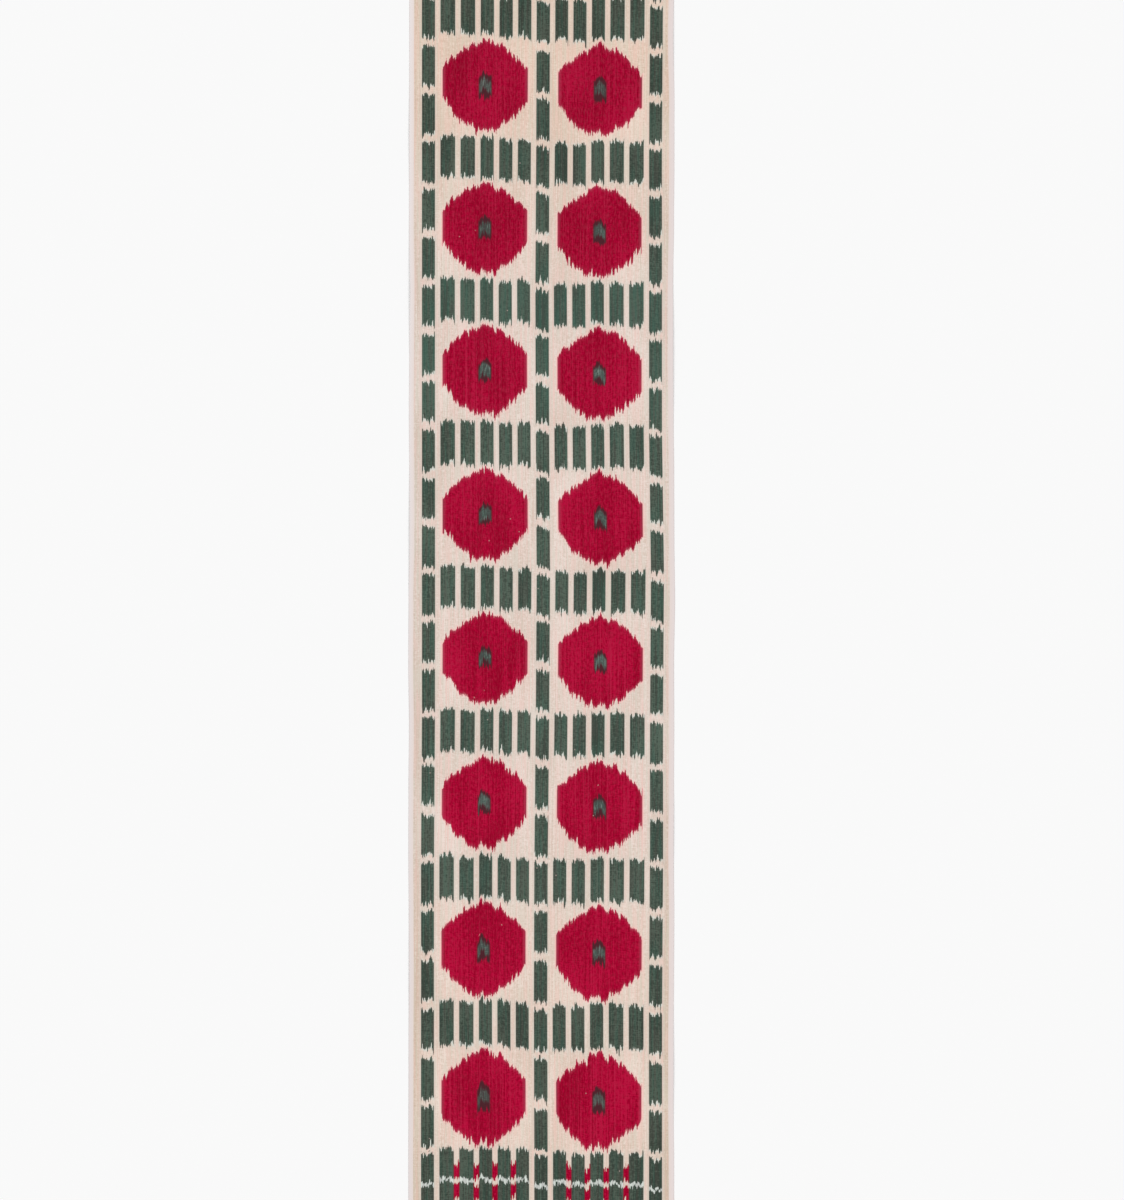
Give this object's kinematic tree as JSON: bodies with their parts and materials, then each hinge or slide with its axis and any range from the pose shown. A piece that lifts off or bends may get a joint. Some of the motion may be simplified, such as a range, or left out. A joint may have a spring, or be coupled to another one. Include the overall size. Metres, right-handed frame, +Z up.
{
  "type": "ikat woven cloth",
  "caption": "Long narrow length of warp ikat cloth lying flat, with two selvedges, two cut ends and a repeat of spots framed by dashes.",
  "frame": {"origin": "middle of the underside, on the surface that the cloth lies on", "axes": "+X across the cloth from its left selvedge to its right, +Y along the warp towards the upper end, +Z up through the face"},
  "size_m": [0.4026, 1.875, 0.0027],
  "materials": {
    "ikat_cloth": "silk warp over cotton weft, fine weft rib, low sheen"
  },
  "bodies": {
    "root": {"cloth": "ikat_cloth"}
  },
  "joints": []
}
